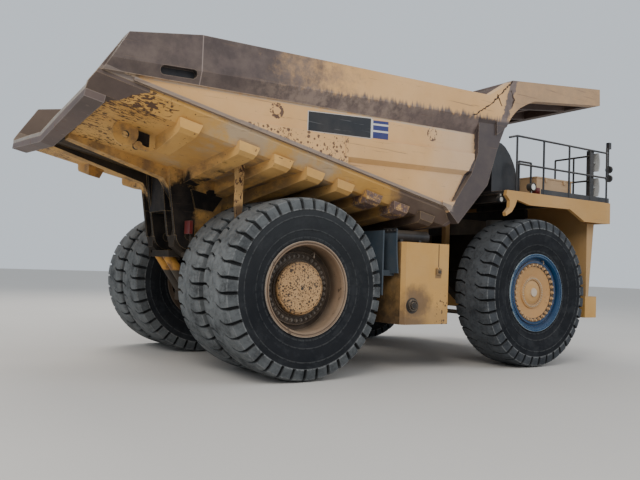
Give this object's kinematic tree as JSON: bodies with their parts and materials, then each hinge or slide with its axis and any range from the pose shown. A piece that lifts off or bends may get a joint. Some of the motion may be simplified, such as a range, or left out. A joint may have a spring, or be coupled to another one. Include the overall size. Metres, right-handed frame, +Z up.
{
  "type": "mining dump truck",
  "caption": "Rigid mining dump truck with a tipping rock body, canopy, cab, steered front wheels and dual rear wheels.",
  "frame": {"origin": "middle of the overall box on the ground", "axes": "+X forward, +Y to the truck's left, +Z up"},
  "size_m": [11.42, 6.538, 6.0199],
  "materials": {
    "frame_paint": "dark grey paint under oil and dust",
    "machine_paint": "dusty yellow-tan paint, scratched",
    "bed_paint": "faded tan paint with scratches and rust",
    "rusty_steel": "rusted brown-purple steel",
    "tyre_rubber": "dusty dark rubber",
    "rim_blue": "blue paint, worn",
    "rim_tan": "dusty tan paint with rust",
    "cast_parts": "raw casting, dusty",
    "hoist_chrome": "polished rod",
    "dark_steel": "dark tubes and housings",
    "lamp_lens": "frosted lens",
    "window_glass": "clear glass",
    "cab_trim": "dark trim",
    "flap_rubber": "black rubber sheet"
  },
  "bodies": {
    "chassis": {"frame": "frame_paint", "rear_axle": "frame_paint", "suspension_struts": "machine_paint", "engine": "cast_parts", "drive_shaft": "cast_parts", "radiator": "dark_steel", "bumper": "machine_paint", "lamps": "lamp_lens", "fuel_tank": "machine_paint", "hydraulic_tank": "machine_paint", "air_receiver": "dark_steel", "mud_flaps": "flap_rubber", "deck": "machine_paint", "front_panels": "machine_paint", "handrails": "dark_steel", "ladders": "dark_steel", "cab_shell": "machine_paint", "cab_roof": "machine_paint", "cab_glass": "window_glass", "cab_interior": "cab_trim", "battery_box": "machine_paint", "intake_housing": "dark_steel", "mirrors": "dark_steel"},
    "door": {"cab_door": "machine_paint", "door_glass": "window_glass"},
    "knuckle_left": {"knuckle_left": "cast_parts"},
    "knuckle_right": {"knuckle_right": "cast_parts"},
    "tie_rod": {"tie_rod": "cast_parts"},
    "wheel_front_left": {"tyre_front_left": "tyre_rubber", "rim_front_left": "rim_blue", "hub_front_left": "rim_tan"},
    "wheel_front_right": {"tyre_front_right": "tyre_rubber", "rim_front_right": "rim_blue", "hub_front_right": "rim_tan"},
    "wheels_rear_left": {"tyres_rear_left": "tyre_rubber", "rims_rear_left": "rim_tan", "hub_rear_left": "rim_tan"},
    "wheels_rear_right": {"tyres_rear_right": "tyre_rubber", "rims_rear_right": "rim_tan", "hub_rear_right": "rim_tan"},
    "bed": {"bed_floor": "bed_paint", "bed_side_left": "bed_paint", "bed_side_right": "bed_paint", "bed_front": "bed_paint", "bed_canopy": "rusty_steel", "bed_ribs": "bed_paint", "bed_beams": "bed_paint", "bed_tail": "rusty_steel", "rock_ejectors": "bed_paint"},
    "hoist_barrels": {"hoist_barrels": "machine_paint"},
    "hoist_stages": {"hoist_stages": "hoist_chrome"},
    "hoist_rods": {"hoist_rods": "hoist_chrome"}
  },
  "joints": [
    {"name": "bed_tip", "type": "hinge", "parent": "chassis", "child": "bed", "pos_m": [-3.22, 0, 2.35], "axis": [0, -1, 0], "range_deg": [0, 48]},
    {"name": "hoist_swing", "type": "hinge", "parent": "chassis", "child": "hoist_barrels", "pos_m": [-0.67, 0, 0.95], "axis": [0, -1, 0], "range_deg": [0, 20.2]},
    {"name": "hoist_stage_slide", "type": "slide", "parent": "hoist_barrels", "child": "hoist_stages", "axis": [0.1264, 0, 0.992], "range_m": [0, 1.06]},
    {"name": "hoist_rod_slide", "type": "slide", "parent": "hoist_stages", "child": "hoist_rods", "axis": [0.1264, 0, 0.992], "range_m": [0, 1.06]},
    {"name": "door_swing", "type": "hinge", "parent": "chassis", "child": "door", "pos_m": [4.19, 2.305, 4.3], "axis": [0, 0, -1], "range_deg": [0, 90]},
    {"name": "steer_left", "type": "hinge", "parent": "chassis", "child": "knuckle_left", "pos_m": [3.28, 2.05, 1.5], "axis": [0, 0, 1], "range_deg": [-35, 35]},
    {"name": "steer_right", "type": "hinge", "parent": "chassis", "child": "knuckle_right", "pos_m": [3.28, -2.05, 1.5], "axis": [0, 0, 1], "range_deg": [-35, 35]},
    {"name": "tie_rod_pivot", "type": "hinge", "parent": "knuckle_left", "child": "tie_rod", "pos_m": [2.63, 2.05, 1.01], "axis": [0, 0, 1], "range_deg": [-35, 35]},
    {"name": "spin_front_left", "type": "hinge", "parent": "knuckle_left", "child": "wheel_front_left", "pos_m": [3.28, 2.8, 1.5], "axis": [0, 1, 0], "continuous": true},
    {"name": "spin_front_right", "type": "hinge", "parent": "knuckle_right", "child": "wheel_front_right", "pos_m": [3.28, -2.8, 1.5], "axis": [0, 1, 0], "continuous": true},
    {"name": "spin_rear_left", "type": "hinge", "parent": "chassis", "child": "wheels_rear_left", "pos_m": [-2.07, 2.0785, 1.5], "axis": [0, 1, 0], "continuous": true},
    {"name": "spin_rear_right", "type": "hinge", "parent": "chassis", "child": "wheels_rear_right", "pos_m": [-2.07, -2.0785, 1.5], "axis": [0, 1, 0], "continuous": true}
  ],
  "couplings": [
    {"joint": "hoist_swing", "follows": "bed_tip", "ratio": 0.41683},
    {"joint": "hoist_stage_slide", "follows": "bed_tip", "m_per_rad": 1.2564},
    {"joint": "hoist_rod_slide", "follows": "bed_tip", "m_per_rad": 1.2564},
    {"joint": "steer_right", "follows": "steer_left", "ratio": 1},
    {"joint": "tie_rod_pivot", "follows": "steer_left", "ratio": -1}
  ]
}
